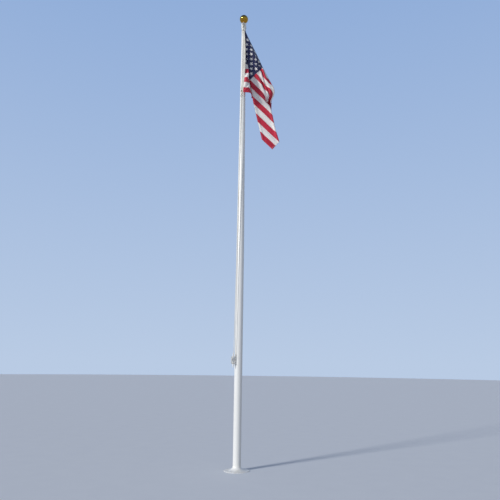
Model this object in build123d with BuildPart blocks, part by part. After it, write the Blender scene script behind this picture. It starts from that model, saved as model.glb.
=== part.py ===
"""A 25 ft ground-set flagpole with a flag on an outside halyard, in millimetres.

The origin is the centre of the tube's foot at ground level. +Z is up, and the flag flies towards +X.
"""

from build123d import *
from math import atan2, cos, degrees, radians, sin, sqrt
import os

os.makedirs("parts", exist_ok=True)

# Pole tube: straight below, cone tapered above
pole_height = 7620.0
butt_diameter = 127.0
top_diameter = 76.2
tube_wall = 3.2
straight_height = 3430.0

# Flash collar on the ground
collar_diameter = 400.0
collar_height = 78.0
collar_wall = 2.0
collar_neck = 14.0
collar_rim = 5.0
collar_clearance = 0.3

# Truck: the cast cap on the pole top
truck_azimuth = -95.0
cap_wall = 5.5
cap_skirt = 52.0
cap_body = 38.0
cap_shoulder = 14.0
cap_crown = 3.0
cap_bead = 2.5
cap_bead_height = 8.0
cap_clearance = 0.2
boss_radius = 22.0
set_screw_radius = 4.0
set_screw_drop = 26.0
set_screw_count = 3
set_screw_spacing = 80.0
screw_clearance = 0.1

# Halyard
rope_radius = 4.0
rope_clearance = 0.3
bight_tail = 20.0
turn_count = 2

# Sheave between the fork's cheeks
sheave_radius = 30.0
sheave_rim_width = 14.0
sheave_hub_width = 20.0
sheave_hub_radius = 10.0
sheave_web_width = 8.0
sheave_chamfer = 1.0
sheave_rim_slope = 3.0
sheave_reach = 85.0
sheave_drop = 8.0
groove_depth = 6.0
groove_flare = 0.8
axle_radius = 5.0
axle_running_clearance = 0.05
hub_clearance = 0.5
rim_clearance = 5.0
cheek_thickness = 7.0
cheek_radius = 17.0
axle_head_radius = 8.5
axle_head = 3.5
axle_tail = 9.0
cotter_radius = 1.5
cotter_length = 20.0

# Ball
ball_radius = 76.2
ball_wall = 1.5
ball_gap = 12.0
ball_boss = 7.0
ball_flat_margin = 2.0
spindle_radius = 6.0
spindle_depth = 26.0
spindle_end = 12.0
spindle_flange_radius = 15.0
spindle_flange = 6.0

# Cleat
cleat_azimuth = -138.0
cleat_height = 1660.0
cleat_length = 229.0
cleat_standoff = 50.0
cleat_base_length = 96.0
cleat_base_width = 42.0
cleat_base = 9.0
cleat_base_corner = 14.0
cleat_base_round = 3.0
cleat_post_length = 46.0
cleat_post_width = 20.0
cleat_post_corner = 9.5
cleat_post_foot_length = 60.0
cleat_post_foot_width = 28.0
cleat_screw_spacing = 74.0
cleat_screw_radius = 3.0
cleat_screw_head_radius = 5.6
cleat_screw_head = 3.0
cleat_clearance = 0.1
horn_root_radius = 11.5
horn_tip_radius = 6.0
turn_slack = 0.5
turn_bend = 7.0
turn_ease = 4.0
turn_side_room = 3.0
turn_lift = 2.0
turn_pull = 0.8
leg_room = 4.0

# Flag
flag_hoist = 1219.0
flag_fly = 1905.0
flag_drop = 150.0
heading_width = 40.0
heading_thickness = 3.0
heading_bow = 30.0
cloth_thickness = 8.0
cloth_start = 45.0
strip_start = 150.0
grommet_inset = 18.0
grommet_drop = 22.0
grommet_hole_radius = 6.0
grommet_barrel_radius = 8.0
grommet_flange_radius = 11.5
grommet_flange = 1.0

# How the cloth hangs: leans to +X and +Y for each unit of drop, reaches in hoists, shares of fly and hoist
front_fly_way = (0.747, 0.177, -0.641)
front_hoist_way = (-0.656, 0.040, -0.754)
front_shift = 62.0
front_foot_share = 0.863
fly_turn_share = 0.878
notch_shares = (0.681, 0.468)
strip_top_width = 12.0
strip_foot_width = 150.0
deep_lean = (0.43, 0.44)
deep_reach = 1.192
wing_lean = (0.505, 0.133)
wing_reach = 1.027
edge_lean = (0.468, 0.042)
edge_reach = 0.598
fly_top_lean = (0.101, 0.248)
fly_top_reach = 0.925

# Snap hooks
snap_offset = 16.5
snap_wire_radius = 3.0
snap_bow_radius = 8.0
snap_straight = 34.0
snap_barrel_radius = 5.0
snap_barrel = 12.0
snap_eye_radius = 9.0
snap_eye_wire_radius = 2.5
knot_tilt = 40.0
knot_turns = 2
knot_pitch = 7.6
knot_start = 2.3
seat_clearance = 0.3

up = Vector(0, 0, 1)
butt_radius = butt_diameter / 2
top_radius = top_diameter / 2


def pole_radius(height):
    """Outer radius of the tube at a height: constant below, shrinking evenly above."""
    share = max(0.0, height - straight_height) / (pole_height - straight_height)
    return butt_radius + (top_radius - butt_radius) * share


def heading_to(azimuth):
    """Level unit vector at an azimuth counted from +X towards +Y."""
    return Vector(cos(radians(azimuth)), sin(radians(azimuth)), 0)


# Pole shaft
cleat_out = heading_to(cleat_azimuth)
with BuildPart() as pole_shaft:
    with BuildSketch(Plane.XZ):
        with BuildLine():
            Polyline(
                (butt_radius - tube_wall, 0),
                (butt_radius, 0),
                (butt_radius, straight_height),
                (top_radius, pole_height),
                (top_radius - tube_wall, pole_height),
                (butt_radius - tube_wall, straight_height),
                close=True,
            )
        make_face()
    revolve(axis=Axis.Z)
    for side in (-1, 1):
        height = cleat_height + side * cleat_screw_spacing / 2
        with BuildSketch(Plane(cleat_out * (butt_radius / 2) + up * height, z_dir=cleat_out)):
            Circle(cleat_screw_radius + screw_clearance)
        extrude(amount=butt_radius, mode=Mode.SUBTRACT)
pole_shaft.part.label = "pole_shaft"
export_step(pole_shaft.part, "parts/pole_shaft.step")

# Flash collar: a spun flare, concave from the neck to the rim
neck_radius = butt_radius + collar_clearance
flare_radius = collar_diameter / 2 - collar_rim
flare_drop = collar_height - collar_neck
with BuildPart() as flash_collar:
    with BuildSketch(Plane.XZ):
        with BuildLine():
            outer_flare = EllipticalCenterArc(
                (flare_radius, flare_drop),
                flare_radius - neck_radius - collar_wall,
                flare_drop - collar_rim - collar_wall,
                start_angle=180,
                arc_size=90,
            )
            inner_flare = EllipticalCenterArc(
                (flare_radius, flare_drop),
                flare_radius - neck_radius,
                flare_drop - collar_rim,
                start_angle=180,
                arc_size=90,
            )
            neck_outer = Line(outer_flare @ 0, (neck_radius + collar_wall, collar_height))
            neck_top = Line(neck_outer @ 1, (neck_radius, collar_height))
            Line(neck_top @ 1, inner_flare @ 0)
            rim_outer = RadiusArc(outer_flare @ 1, (collar_diameter / 2, 0), collar_rim + collar_wall)
            rim_foot = Line(rim_outer @ 1, (collar_diameter / 2 - collar_wall, 0))
            Line(rim_foot @ 1, inner_flare @ 1)
        make_face()
    revolve(axis=Axis.Z)
flash_collar.part.label = "flash_collar"
export_step(flash_collar.part, "parts/flash_collar.step")

# Truck frame: outward, up and along the sheave's axle
truck_out = heading_to(truck_azimuth)
axle_way = truck_out.cross(up)
rope_path_radius = sheave_radius - groove_depth + rope_radius + rope_clearance
sheave_centre = truck_out * sheave_reach + up * (pole_height - sheave_drop)
fork_gap = sheave_hub_width + 2 * hub_clearance
fork_width = fork_gap + 2 * cheek_thickness
cap_inner_radius = pole_radius(pole_height - cap_skirt) + cap_clearance
cap_radius = cap_inner_radius + cap_wall
fork_web_radius = sheave_reach - sheave_radius - rim_clearance
cap_top = pole_height + cap_body + cap_shoulder
truck_section = Plane(origin=(0, 0, pole_height), x_dir=truck_out, z_dir=axle_way)

crown_middle = Vector((cap_radius + boss_radius) / 2, cap_body + cap_shoulder / 2)
crown_middle += Vector(cap_shoulder, cap_radius - boss_radius).normalized() * cap_crown

with BuildPart() as truck_body:
    with BuildSketch(truck_section):
        with BuildLine():
            cap_side = Polyline(
                (0, 0),
                (cap_inner_radius, 0),
                (cap_inner_radius, -cap_skirt),
                (cap_radius + cap_bead, -cap_skirt),
                (cap_radius + cap_bead, cap_bead_height - cap_skirt),
                (cap_radius, cap_bead_height + cap_bead - cap_skirt),
                (cap_radius, cap_body),
            )
            crown = ThreePointArc(cap_side @ 1, crown_middle, (boss_radius, cap_body + cap_shoulder))
            Polyline(crown @ 1, (0, cap_body + cap_shoulder), cap_side @ 0)
        make_face()
    revolve(axis=Axis.Z)
    with BuildSketch(truck_section):
        with Locations((sheave_reach, -sheave_drop)):
            Circle(cheek_radius)
        with Locations((cap_radius - cap_wall, (cap_body - cap_skirt) / 2)):
            Rectangle(cap_wall, cap_body + cap_skirt - 2 * cap_wall)
        make_hull()
    extrude(amount=fork_width / 2, both=True)
    with BuildSketch(truck_section):
        with Locations((fork_web_radius, 0)):
            Rectangle(sheave_reach, 3 * cap_skirt, align=(Align.MIN, Align.CENTER))
    extrude(amount=fork_gap / 2, both=True, mode=Mode.SUBTRACT)
    with BuildSketch(Plane.XY.offset(pole_height - cap_skirt - cap_body)):
        Circle(cap_inner_radius)
    extrude(amount=cap_skirt + cap_body, mode=Mode.SUBTRACT)
    with BuildSketch(truck_section):
        with Locations((sheave_reach, -sheave_drop)):
            Circle(axle_radius + screw_clearance)
    extrude(amount=fork_width, both=True, mode=Mode.SUBTRACT)
    with BuildSketch(Plane.XY.offset(cap_top)):
        Circle(spindle_radius + screw_clearance)
    extrude(amount=-spindle_depth, mode=Mode.SUBTRACT)
    for turn in range(set_screw_count):
        way = heading_to(truck_azimuth + 180 + (turn - 1) * set_screw_spacing)
        with BuildSketch(Plane(up * (pole_height - set_screw_drop), z_dir=way)):
            Circle(set_screw_radius + screw_clearance)
        extrude(amount=2 * cap_radius, mode=Mode.SUBTRACT)
truck_body.part.label = "truck_body"
export_step(truck_body.part, "parts/truck_body.step")

# Set screws that lock the cap to the tube
screw_seat = pole_radius(pole_height - set_screw_drop) + seat_clearance
with BuildPart() as truck_set_screws:
    for turn in range(set_screw_count):
        way = heading_to(truck_azimuth + 180 + (turn - 1) * set_screw_spacing)
        with BuildSketch(Plane(way * screw_seat + up * (pole_height - set_screw_drop), z_dir=way)):
            Circle(set_screw_radius)
        extrude(amount=cap_wall)
truck_set_screws.part.label = "truck_set_screws"
export_step(truck_set_screws.part, "parts/truck_set_screws.step")

# Sheave: hub, web and grooved rim turned about the axle
bore_radius = axle_radius + axle_running_clearance
groove_radius = rope_radius + rope_clearance
groove_mouth = groove_radius + groove_flare
with BuildPart() as sheave:
    with BuildSketch(Plane(sheave_centre, x_dir=axle_way, z_dir=axle_way.cross(up))):
        with BuildLine():
            Polyline(
                (groove_radius, rope_path_radius),
                (groove_mouth, sheave_radius),
                (sheave_rim_width / 2, sheave_radius),
                (sheave_rim_width / 2, sheave_radius - groove_depth - sheave_chamfer),
                (sheave_web_width / 2, sheave_radius - groove_depth - sheave_chamfer - sheave_rim_slope),
                (sheave_web_width / 2, sheave_hub_radius + sheave_chamfer),
                (sheave_hub_width / 2, sheave_hub_radius),
                (sheave_hub_width / 2, bore_radius),
                (-sheave_hub_width / 2, bore_radius),
                (-sheave_hub_width / 2, sheave_hub_radius),
                (-sheave_web_width / 2, sheave_hub_radius + sheave_chamfer),
                (-sheave_web_width / 2, sheave_radius - groove_depth - sheave_chamfer - sheave_rim_slope),
                (-sheave_rim_width / 2, sheave_radius - groove_depth - sheave_chamfer),
                (-sheave_rim_width / 2, sheave_radius),
                (-groove_mouth, sheave_radius),
                (-groove_radius, rope_path_radius),
            )
            ThreePointArc(
                (-groove_radius, rope_path_radius),
                (0, rope_path_radius - groove_radius),
                (groove_radius, rope_path_radius),
            )
        make_face()
    revolve(axis=Axis(sheave_centre, axle_way))
sheave.part.label = "sheave"
export_step(sheave.part, "parts/sheave.step")

# Axle with its head on one cheek and a cotter outside the other
cotter_reach = fork_width / 2 + cotter_radius + seat_clearance
with BuildPart() as sheave_axle:
    with BuildSketch(Plane(sheave_centre - axle_way * (fork_width / 2 + axle_head), z_dir=axle_way)):
        Circle(axle_head_radius)
    extrude(amount=axle_head)
    with BuildSketch(Plane(sheave_centre - axle_way * fork_width / 2, z_dir=axle_way)):
        Circle(axle_radius)
    extrude(amount=fork_width + axle_tail)
    with BuildSketch(Plane(sheave_centre + axle_way * cotter_reach, z_dir=up)):
        Circle(cotter_radius + screw_clearance)
    extrude(amount=2 * axle_radius, both=True, mode=Mode.SUBTRACT)
sheave_axle.part.label = "sheave_axle"
export_step(sheave_axle.part, "parts/sheave_axle.step")

with BuildPart() as sheave_cotter:
    with BuildSketch(Plane(sheave_centre + axle_way * cotter_reach, z_dir=up)):
        Circle(cotter_radius)
    extrude(amount=cotter_length / 2, both=True)
sheave_cotter.part.label = "sheave_cotter"
export_step(sheave_cotter.part, "parts/sheave_cotter.step")

# Ball: two spun halves on a threaded spindle
flat_radius = spindle_flange_radius + ball_flat_margin
ball_flat = sqrt(ball_radius**2 - flat_radius**2)
ball_centre = cap_top + ball_gap + ball_flat
ball_inner = ball_radius - ball_wall
boss_top = ball_flat - ball_boss
with BuildPart() as ball_spindle:
    with BuildSketch(Plane.XY.offset(cap_top - spindle_depth)):
        Circle(spindle_radius)
    extrude(amount=spindle_depth + ball_gap + ball_boss + spindle_end)
    with BuildSketch(Plane.XY.offset(cap_top + ball_gap - spindle_flange)):
        Circle(spindle_flange_radius)
    extrude(amount=spindle_flange)
ball_spindle.part.label = "ball_spindle"
export_step(ball_spindle.part, "parts/ball_spindle.step")

with BuildPart() as ball_lower_half:
    with BuildSketch(Plane(origin=(0, 0, ball_centre), x_dir=(1, 0, 0), z_dir=(0, -1, 0))):
        with BuildLine():
            outer = CenterArc((0, 0), ball_radius, degrees(atan2(-ball_flat, flat_radius)),
                              degrees(atan2(ball_flat, flat_radius)))
            seam = Line(outer @ 1, (ball_inner, 0))
            inner_radius = sqrt(ball_inner**2 - boss_top**2)
            inner = CenterArc((0, 0), ball_inner, degrees(atan2(-boss_top, inner_radius)),
                              degrees(atan2(boss_top, inner_radius)))
            Polyline(
                inner @ 0,
                (spindle_radius + screw_clearance, -boss_top),
                (spindle_radius + screw_clearance, -ball_flat),
                outer @ 0,
            )
        make_face()
    revolve(axis=Axis.Z)
ball_lower_half.part.label = "ball_lower_half"
export_step(ball_lower_half.part, "parts/ball_lower_half.step")

with BuildPart() as ball_upper_half:
    with BuildSketch(Plane(origin=(0, 0, ball_centre), x_dir=(1, 0, 0), z_dir=(0, -1, 0))):
        with BuildLine():
            outer = CenterArc((0, 0), ball_radius, 0, 90)
            inner = CenterArc((0, 0), ball_inner, 0, 90)
            Line(outer @ 0, inner @ 0)
            Line(outer @ 1, inner @ 1)
        make_face()
    revolve(axis=Axis.Z)
ball_upper_half.part.label = "ball_upper_half"
export_step(ball_upper_half.part, "parts/ball_upper_half.step")

# Cleat: base bent to the tube, one post and two horns
cleat_side = cleat_out.cross(up)
cleat_seat = cleat_out * butt_radius + up * cleat_height


def on_cleat(along, side, out):
    """World point from the cleat's own measures: up the pole, sideways and out from the tube."""
    return cleat_seat + up * along + cleat_side * side + cleat_out * out


with BuildPart() as cleat_body:
    with BuildSketch(Plane(on_cleat(0, 0, -cleat_base), x_dir=cleat_side, z_dir=cleat_out)):
        RectangleRounded(cleat_base_width, cleat_base_length, cleat_base_corner)
    extrude(amount=2 * cleat_base)
    fillet(cleat_body.faces().sort_by(Axis(cleat_seat, cleat_out))[-1].edges(), cleat_base_round)
    with BuildSketch(Plane(on_cleat(0, 0, 0), x_dir=cleat_side, z_dir=cleat_out)):
        RectangleRounded(cleat_post_foot_width, cleat_post_foot_length, cleat_post_corner)
    with BuildSketch(Plane(on_cleat(0, 0, cleat_standoff), x_dir=cleat_side, z_dir=cleat_out)):
        RectangleRounded(cleat_post_width, cleat_post_length, cleat_post_corner)
    loft()
    with BuildSketch(Plane.XY.offset(cleat_height - cleat_length)):
        Circle(butt_radius + cleat_clearance)
    extrude(amount=2 * cleat_length, mode=Mode.SUBTRACT)
    horn_axis = on_cleat(0, 0, cleat_standoff)
    tip = cleat_length / 2 - horn_tip_radius
    with BuildSketch(Plane(horn_axis, x_dir=up, z_dir=up.cross(cleat_out))):
        with BuildLine():
            ThreePointArc((-tip, horn_tip_radius), (0, horn_root_radius), (tip, horn_tip_radius))
            CenterArc((tip, 0), horn_tip_radius, 0, 90)
            Line((tip + horn_tip_radius, 0), (-tip - horn_tip_radius, 0))
            CenterArc((-tip, 0), horn_tip_radius, 90, 90)
        make_face()
    revolve(axis=Axis(horn_axis, up))
    for side in (-1, 1):
        place = on_cleat(side * cleat_screw_spacing / 2, 0, cleat_base)
        with BuildSketch(Plane(place, z_dir=cleat_out)):
            Circle(cleat_screw_radius + screw_clearance)
        extrude(amount=-2 * cleat_base, mode=Mode.SUBTRACT)
cleat_body.part.label = "cleat_body"
export_step(cleat_body.part, "parts/cleat_body.step")

with BuildPart() as cleat_screws:
    for side in (-1, 1):
        place = on_cleat(side * cleat_screw_spacing / 2, 0, cleat_base)
        with BuildSketch(Plane(place, z_dir=cleat_out)):
            Circle(cleat_screw_radius)
        extrude(amount=-2 * cleat_base)
        with BuildSketch(Plane(place, z_dir=cleat_out)):
            Circle(cleat_screw_head_radius)
        extrude(amount=cleat_screw_head)
cleat_screws.part.label = "cleat_screws"
export_step(cleat_screws.part, "parts/cleat_screws.step")

# Halyard: over the sheave, down both legs and round the cleat's post
leg_turn = cleat_post_width / 2 + rope_radius + leg_room
leg_out = cleat_standoff - horn_root_radius - 3 * rope_radius - 2 * rope_clearance
leg_foot = -cleat_post_length / 2 - rope_radius
flag_leg_top = sheave_centre + truck_out * rope_path_radius - up * bight_tail
return_leg_top = sheave_centre - truck_out * rope_path_radius - up * bight_tail
flag_leg_foot = on_cleat(leg_foot, -leg_turn, leg_out)
return_leg_foot = on_cleat(leg_foot, leg_turn, leg_out)

with BuildPart() as halyard_bight:
    with BuildLine():
        bight_top = sheave_centre + up * rope_path_radius
        rise = Line(flag_leg_top, flag_leg_top + up * bight_tail)
        over = ThreePointArc(rise @ 1, bight_top, return_leg_top + up * bight_tail)
        Line(over @ 1, return_leg_top)
    with BuildSketch(Plane(flag_leg_top, z_dir=up)):
        Circle(rope_radius)
    sweep()
halyard_bight.part.label = "halyard_bight"
export_step(halyard_bight.part, "parts/halyard_bight.step")

with BuildPart() as halyard_flag_leg:
    with BuildSketch(Plane(flag_leg_top, z_dir=flag_leg_foot - flag_leg_top)):
        Circle(rope_radius)
    extrude(amount=(flag_leg_foot - flag_leg_top).length)
halyard_flag_leg.part.label = "halyard_flag_leg"
export_step(halyard_flag_leg.part, "parts/halyard_flag_leg.step")

with BuildPart() as halyard_return_leg:
    with BuildSketch(Plane(return_leg_top, z_dir=return_leg_foot - return_leg_top)):
        Circle(rope_radius)
    extrude(amount=(return_leg_foot - return_leg_top).length)
halyard_return_leg.part.label = "halyard_return_leg"
export_step(halyard_return_leg.part, "parts/halyard_return_leg.step")

with BuildPart() as halyard_turnback:
    with BuildLine():
        ThreePointArc(flag_leg_foot, on_cleat(leg_foot - leg_turn, 0, leg_out), return_leg_foot)
    with BuildSketch(Plane(flag_leg_foot, z_dir=-up)):
        Circle(rope_radius)
    sweep()
halyard_turnback.part.label = "halyard_turnback"
export_step(halyard_turnback.part, "parts/halyard_turnback.step")

# Figure-of-eight turns on the cleat, each turn further out than the one below it
strand = 2 * rope_radius + rope_clearance


def figure_eight(layer):
    """Corner points of one figure of eight: behind both horns, crossing twice in front."""
    along = leg_turn - leg_foot + (layer + 1) * strand
    side = horn_root_radius + rope_radius + turn_side_room
    behind = cleat_standoff - horn_root_radius - rope_radius - rope_clearance
    front = cleat_standoff + horn_root_radius + rope_radius + turn_slack + 2 * layer * strand
    return [
        on_cleat(along, 0, behind),
        on_cleat(along, side, behind + turn_lift),
        on_cleat(along * turn_pull, side, front - turn_ease),
        on_cleat(0, 0, front),
        on_cleat(-along * turn_pull, -side, front - turn_ease),
        on_cleat(-along, -side, behind + turn_lift),
        on_cleat(-along, 0, behind),
        on_cleat(-along, side, behind + turn_lift),
        on_cleat(-along * turn_pull, side, front - turn_ease),
        on_cleat(0, 0, front + strand),
        on_cleat(along * turn_pull, -side, front - turn_ease),
        on_cleat(along, -side, behind + turn_lift),
    ]


turn_corners = [corner for layer in range(turn_count) for corner in figure_eight(layer)]
with BuildPart() as cleat_turns:
    with BuildLine() as turns_path:
        FilletPolyline(*turn_corners, radius=turn_bend)
    with BuildSketch(Plane(turns_path.wire() @ 0, z_dir=turns_path.wire() % 0)):
        Circle(rope_radius)
    sweep(path=turns_path.wire())
cleat_turns.part.label = "cleat_turns"
export_step(cleat_turns.part, "parts/cleat_turns.step")

# Flag: a canvas heading and cloth that hangs in folds from its top corner
hang = (flag_leg_foot - flag_leg_top).normalized()
fly = (Vector(1, 0, 0) - hang * hang.X).normalized()
front = hang.cross(fly)
flag_leg_at_top = flag_leg_top + hang * ((pole_height - flag_drop - flag_leg_top.Z) / hang.Z)


def on_flag(across, ahead, drop):
    """World point measured from the flag leg: towards the fly, ahead of it and down from the flag's top."""
    return flag_leg_at_top + fly * across + front * ahead + hang * drop


grommet_drops = {"upper": grommet_drop, "lower": flag_hoist - grommet_drop}
heading_plane = Plane(on_flag(-grommet_inset, snap_offset, 0), x_dir=fly, z_dir=front)

with BuildPart() as flag_heading:
    with BuildSketch(heading_plane):
        with BuildLine():
            free_edge = ThreePointArc((0, 0), (heading_bow, -flag_hoist / 2), (0, -flag_hoist))
            sewn_edge = ThreePointArc(
                (heading_width, 0),
                (heading_width + heading_bow, -flag_hoist / 2),
                (heading_width, -flag_hoist),
            )
            Line(free_edge @ 0, sewn_edge @ 0)
            Line(free_edge @ 1, sewn_edge @ 1)
        make_face()
        for drop in grommet_drops.values():
            with Locations((grommet_inset, -drop)):
                Circle(grommet_barrel_radius + screw_clearance, mode=Mode.SUBTRACT)
    extrude(amount=heading_thickness / 2, both=True)
flag_heading.part.label = "flag_heading"
export_step(flag_heading.part, "parts/flag_heading.step")

grommet_half = heading_thickness / 2
for name, drop in grommet_drops.items():
    centre = on_flag(0, snap_offset, drop)
    with BuildPart() as grommet:
        with BuildSketch(Plane(centre, x_dir=front, z_dir=front.cross(-hang))):
            with BuildLine():
                Polyline(
                    (-grommet_half - grommet_flange, grommet_hole_radius),
                    (grommet_half + grommet_flange, grommet_hole_radius),
                    (grommet_half + grommet_flange, grommet_flange_radius),
                    (grommet_half, grommet_flange_radius),
                    (grommet_half, grommet_barrel_radius),
                    (-grommet_half, grommet_barrel_radius),
                    (-grommet_half, grommet_flange_radius),
                    (-grommet_half - grommet_flange, grommet_flange_radius),
                    close=True,
                )
            make_face()
        revolve(axis=Axis(centre, front))
    grommet.part.label = f"{name}_grommet"
    export_step(grommet.part, f"parts/{name}_grommet.step")

# Snap hooks and the knots that tie them to the flag leg
hook_rise = snap_bow_radius - sqrt(snap_bow_radius**2 - (grommet_half + grommet_flange) ** 2)
hook_seat = grommet_hole_radius - snap_wire_radius - seat_clearance - hook_rise
loop_radius = (snap_offset + 2 * rope_radius + rope_clearance) / 2 / cos(radians(knot_tilt))
for name, drop in grommet_drops.items():
    away = -hang if name == "upper" else hang
    bow = on_flag(0, snap_offset, drop) + away * hook_seat
    near_end = bow + away * snap_bow_radius
    far_end = near_end + away * snap_straight
    barrel_start = far_end + away * snap_bow_radius
    eye_centre = barrel_start + away * (snap_barrel + snap_eye_radius)
    gate_side = front * snap_bow_radius
    with BuildPart() as snap_hook:
        with BuildLine() as bow_line:
            ThreePointArc(near_end + gate_side, bow, near_end - gate_side)
            Line(near_end - gate_side, far_end - gate_side)
            ThreePointArc(far_end - gate_side, barrel_start, far_end + gate_side)
        with BuildSketch(Plane(near_end + gate_side, z_dir=-away)):
            Circle(snap_wire_radius)
        sweep(path=bow_line.wire())
        with BuildSketch(Plane(barrel_start - away * snap_wire_radius / 2, z_dir=away)):
            Circle(snap_barrel_radius)
        extrude(amount=snap_barrel + snap_wire_radius / 2)
        with BuildSketch(Plane(eye_centre, x_dir=front, z_dir=front.cross(fly))):
            with Locations((snap_eye_radius, 0)):
                Circle(snap_eye_wire_radius)
        revolve(axis=Axis(eye_centre, fly))
    snap_hook.part.label = f"{name}_snap_hook"
    export_step(snap_hook.part, f"parts/{name}_snap_hook.step")

    with BuildPart() as snap_gate:
        with BuildSketch(Plane(near_end + gate_side + away * seat_clearance, z_dir=away)):
            Circle(snap_wire_radius)
        extrude(amount=snap_straight - 2 * seat_clearance)
    snap_gate.part.label = f"{name}_snap_gate"
    export_step(snap_gate.part, f"parts/{name}_snap_gate.step")

    loop_way = -front * cos(radians(knot_tilt)) + away * sin(radians(knot_tilt))
    knot_seat = eye_centre + away * (snap_eye_radius - snap_eye_wire_radius - rope_radius - seat_clearance)
    loop_centre = knot_seat + loop_way * loop_radius
    loop_axis = loop_way.cross(fly)
    first_turn = on_flag(0, 0, 0) + hang * (knot_seat - on_flag(0, 0, 0)).dot(hang)
    first_turn += away * 2 * loop_radius * sin(radians(knot_tilt))
    with BuildPart() as knot:
        with BuildSketch(Plane(loop_centre, x_dir=loop_way, z_dir=loop_way.cross(loop_axis))):
            with Locations((loop_radius, 0)):
                Circle(rope_radius)
        revolve(axis=Axis(loop_centre, loop_axis))
        for turn in range(knot_turns):
            centre = first_turn + away * (knot_start + turn * knot_pitch)
            with BuildSketch(Plane(centre, x_dir=front, z_dir=front.cross(-hang))):
                with Locations((2 * rope_radius + rope_clearance, 0)):
                    Circle(rope_radius)
            revolve(axis=Axis(centre, hang))
    knot.part.label = f"{name}_knot"
    export_step(knot.part, f"parts/{name}_knot.step")

# The cloth as it hangs: a strip beside the heading, a deep fold behind, the flat front panel, and the fly
# end folded back behind that panel
cloth_fly = flag_fly - heading_width
top_corner = on_flag(heading_width - grommet_inset, snap_offset, 0)
front_fly = Vector(*front_fly_way).normalized()
front_hoist = Vector(*front_hoist_way).normalized()


def hung(lean, distance, start=top_corner):
    """Point at a distance from the start, on a way that leans right and back for each unit of drop."""
    right, back = lean
    return start + Vector(right, back, -1).normalized() * distance


def on_front(fly_share, hoist_share):
    """Point of the flat front panel, at shares of the cloth's fly and hoist."""
    reach = front_fly * (fly_share * cloth_fly) + front_hoist * (hoist_share * flag_hoist)
    return top_corner - fly * front_shift + reach


def beside_corner(foot):
    """Where a panel's edge to this foot starts, clear of the heading and of the pile at the top corner."""
    start = strip_start if foot == strip_foot else cloth_start
    return top_corner + (foot - top_corner).normalized() * start


strip_foot = top_corner + fly * strip_foot_width + hang * flag_hoist
deep_foot = hung(deep_lean, deep_reach * flag_hoist)
front_foot = on_front(front_foot_share, 1)
fly_foot = on_front(1, 1)
fly_turn = on_front(1, fly_turn_share)
notch = on_front(*notch_shares)
wing = hung(wing_lean, wing_reach * flag_hoist)
edge_turn = hung(edge_lean, edge_reach * flag_hoist)
fly_top = hung(fly_top_lean, fly_top_reach * flag_hoist, edge_turn)
fan = [strip_foot, deep_foot, front_foot, notch, wing, edge_turn]
panels = [(front_foot, fly_foot, fly_turn, notch), (edge_turn, wing, fly_top), (wing, notch, fly_top)]
panels.append((notch, fly_turn, fly_top))
for first, second in zip(fan, fan[1:]):
    panels.append((beside_corner(first), first, second, beside_corner(second)))
folds = [(beside_corner(foot), foot) for foot in fan]
folds += [(front_foot, notch), (edge_turn, wing), (wing, notch), (notch, fly_turn)]
folds += [(fly_top, wing), (fly_top, notch)]

with BuildPart() as flag_cloth:
    with BuildSketch(heading_plane):
        with BuildLine():
            seam = ThreePointArc(
                (heading_width, 0),
                (heading_width + heading_bow, -flag_hoist / 2),
                (heading_width, -flag_hoist),
            )
            strip_edge = Line(seam @ 1, (heading_width + strip_foot_width, -flag_hoist))
            Polyline(strip_edge @ 1, (heading_width + strip_top_width, 0), seam @ 0)
        make_face()
    extrude(amount=cloth_thickness / 2, both=True)
    for corners in panels:
        facing = (corners[1] - corners[0]).cross(corners[2] - corners[1])
        panel_plane = Plane(corners[0], x_dir=corners[1] - corners[0], z_dir=facing)
        flat_corners = [panel_plane.to_local_coords(corner) for corner in corners]
        with BuildSketch(panel_plane):
            Polygon(*[(corner.X, corner.Y) for corner in flat_corners], align=None)
        extrude(amount=cloth_thickness / 2, both=True)
    for start, end in folds:
        with BuildSketch(Plane(start, z_dir=end - start)):
            Circle(cloth_thickness / 2)
        extrude(amount=(end - start).length)
flag_cloth.part.label = "flag_cloth"
export_step(flag_cloth.part, "parts/flag_cloth.step")
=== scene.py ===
"""Dresses a 7.6 m flagpole and its hung flag: finishes for the metalwork, a braided halyard with its turns on the
cleat, and the sewn flag in its folds.

Metres throughout, with the ground at z = 0, the mast on the Z axis and the flag blown towards +X.
"""

from math import radians

import bpy
import numpy as np
from mathutils import Matrix


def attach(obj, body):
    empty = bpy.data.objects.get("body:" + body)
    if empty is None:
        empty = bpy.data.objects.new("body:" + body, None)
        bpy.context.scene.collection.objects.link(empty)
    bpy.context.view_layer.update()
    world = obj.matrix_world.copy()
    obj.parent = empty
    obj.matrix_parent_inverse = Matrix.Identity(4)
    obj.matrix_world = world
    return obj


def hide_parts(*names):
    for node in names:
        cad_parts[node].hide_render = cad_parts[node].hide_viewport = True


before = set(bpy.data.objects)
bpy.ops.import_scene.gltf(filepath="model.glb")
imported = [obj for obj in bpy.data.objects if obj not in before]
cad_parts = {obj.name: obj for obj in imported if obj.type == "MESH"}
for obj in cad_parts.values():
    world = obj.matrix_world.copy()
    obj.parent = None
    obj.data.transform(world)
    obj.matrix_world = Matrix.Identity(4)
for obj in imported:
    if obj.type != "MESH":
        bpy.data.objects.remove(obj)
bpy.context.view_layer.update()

# The flag as it was cut and sewn
HOIST, FLY = 1.219, 1.865
STRIPES = 13
STRIPE = HOIST / STRIPES
CANTON_FLY, CANTON_HOIST = 0.732, 7 * STRIPE
CLOTH = 0.0010
# A star: its tips' radius, its inner corners' share of it, the crown of its padding, and its edge's way off the cloth
STAR_RADIUS, STAR_INNER, STAR_CROWN, STAR_LIFT = 0.0308 * HOIST, 0.382, 0.0006, 0.0009
# Metres of cloth in one unit of its UV
UV_METRES = 2
# Cells of the grid along the canton, along the rest of the fly and across a stripe, and how much finer it is drawn
CANTON_CELLS, FIELD_CELLS, STRIPE_CELLS, FINER = 64, 98, 8, 1.5

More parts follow.
